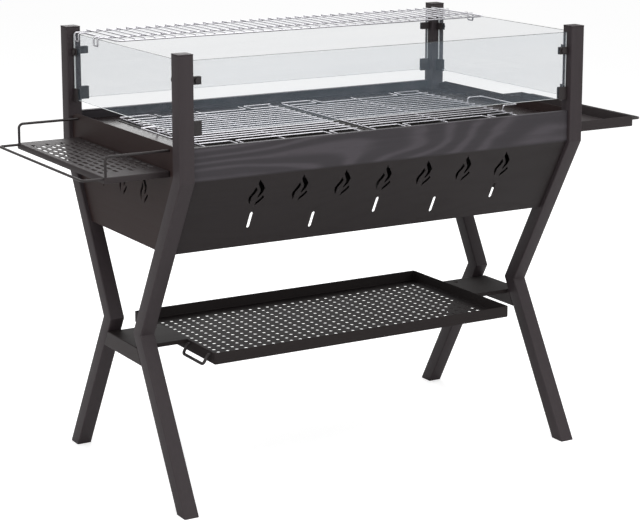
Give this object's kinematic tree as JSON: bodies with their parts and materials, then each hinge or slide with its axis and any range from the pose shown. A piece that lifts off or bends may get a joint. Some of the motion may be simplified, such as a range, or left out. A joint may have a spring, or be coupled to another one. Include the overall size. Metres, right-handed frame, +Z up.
{
  "type": "charcoal grill",
  "caption": "Standing charcoal grill with bent tube legs, glass wind guards, lift-out grates over fire pans, a warming rack, side trays and a lower shelf.",
  "frame": {"origin": "middle of the overall length and depth, on the floor", "axes": "+X along the length towards the solid side tray, -Y the front, +Z up"},
  "size_m": [1.48, 0.611, 1],
  "materials": {
    "frame_paint": "satin dark brown-black paint with faint brushed streaks",
    "chrome_wire": "bright plated wire",
    "clear_glass": "clear tempered glass with a green edge",
    "black_plastic": "matt moulded plastic",
    "clip_black": "satin black",
    "bolt_black": "satin black",
    "wire_black": "satin black paint over round wire"
  },
  "bodies": {
    "stand": {"bottom_shelf": "frame_paint", "bracket_bolts": "bolt_black", "firebox_end_left": "frame_paint", "firebox_end_right": "frame_paint", "firebox_front": "frame_paint", "firebox_ledge": "frame_paint", "firebox_rear": "frame_paint", "foot_plug_front_left": "black_plastic", "foot_plug_front_right": "black_plastic", "foot_plug_rear_left": "black_plastic", "foot_plug_rear_right": "black_plastic", "glass_left": "clear_glass", "glass_right": "clear_glass", "leg_front_left": "frame_paint", "leg_front_right": "frame_paint", "leg_rear_left": "frame_paint", "leg_rear_right": "frame_paint", "lower_clips_front": "clip_black", "lower_clips_left": "clip_black", "lower_clips_rear": "clip_black", "lower_clips_right": "clip_black", "post_cap_front_left": "black_plastic", "post_cap_front_right": "black_plastic", "post_cap_rear_left": "black_plastic", "post_cap_rear_right": "black_plastic", "shelf_bracket_left": "frame_paint", "shelf_bracket_right": "frame_paint", "shelf_handle": "wire_black", "side_tray_left": "frame_paint", "side_tray_right": "frame_paint", "towel_bar_left": "wire_black", "towel_bar_right": "wire_black", "tray_rail_front": "wire_black", "tray_rail_rear": "wire_black", "upper_clips_front": "clip_black", "upper_clips_left": "clip_black", "upper_clips_rear": "clip_black", "upper_clips_right": "clip_black", "waist_brace_left": "frame_paint", "waist_brace_right": "frame_paint"},
    "pan_left": {"charcoal_pan_left": "frame_paint"},
    "pan_right": {"charcoal_pan_right": "frame_paint"},
    "cooking_grate_left": {"grate_left": "chrome_wire", "grate_handle_left": "chrome_wire"},
    "cooking_grate_right": {"grate_right": "chrome_wire", "grate_handle_right": "chrome_wire"},
    "rack": {"warming_rack": "chrome_wire", "rack_hooks_left": "chrome_wire", "rack_hooks_right": "chrome_wire"},
    "front_pane": {"glass_front": "clear_glass"},
    "rear_pane": {"glass_rear": "clear_glass"}
  },
  "joints": [
    {"name": "pan_left_lift", "type": "slide", "parent": "stand", "child": "pan_left", "axis": [0, 0, 1], "range_m": [0, 0.15]},
    {"name": "pan_right_lift", "type": "slide", "parent": "stand", "child": "pan_right", "axis": [0, 0, 1], "range_m": [0, 0.15]},
    {"name": "grate_left_lift", "type": "slide", "parent": "pan_left", "child": "cooking_grate_left", "axis": [0, 0, 1], "range_m": [0, 0.1]},
    {"name": "grate_right_lift", "type": "slide", "parent": "pan_right", "child": "cooking_grate_right", "axis": [0, 0, 1], "range_m": [0, 0.1]},
    {"name": "rack_lift", "type": "slide", "parent": "stand", "child": "rack", "axis": [0, 0, 1], "range_m": [0, 0.12]},
    {"name": "front_pane_lift", "type": "slide", "parent": "stand", "child": "front_pane", "axis": [0, 0, 1], "range_m": [0, 0.13]},
    {"name": "rear_pane_lift", "type": "slide", "parent": "stand", "child": "rear_pane", "axis": [0, 0, 1], "range_m": [0, 0.13]}
  ]
}
